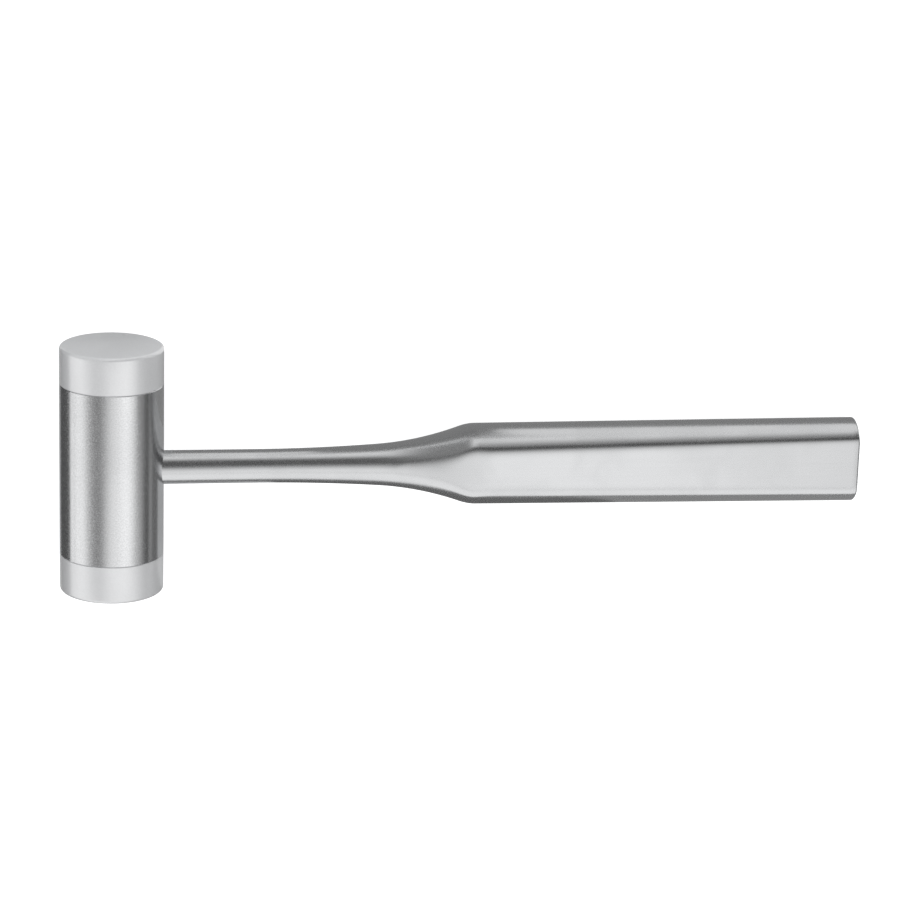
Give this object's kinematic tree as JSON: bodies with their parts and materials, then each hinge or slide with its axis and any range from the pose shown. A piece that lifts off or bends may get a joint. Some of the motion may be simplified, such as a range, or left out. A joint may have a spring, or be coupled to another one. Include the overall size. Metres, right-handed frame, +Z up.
{
  "type": "surgical mallet",
  "caption": "Slim surgical mallet: round steel head with a replaceable plastic disc at each end, on a steel handle whose round neck flares into a flat-sided grip. It lies on its side.",
  "frame": {"origin": "on the surface that the mallet lies on, under the middle of its overall length and of its head", "axes": "+X runs from the head to the butt, +Y along the head's axis to the upper striking disc, +Z up from the surface"},
  "size_m": [0.1952, 0.061, 0.025],
  "materials": {
    "barrel_steel": "satin stainless steel, turned and brushed round the head's axis",
    "handle_steel": "satin stainless steel, ground along the handle",
    "disc_plastic": "pale grey engineering plastic with a fine matt surface"
  },
  "bodies": {
    "root": {"head_body": "barrel_steel", "striking_disc_upper": "disc_plastic", "striking_disc_lower": "disc_plastic", "handle": "handle_steel"}
  },
  "joints": []
}
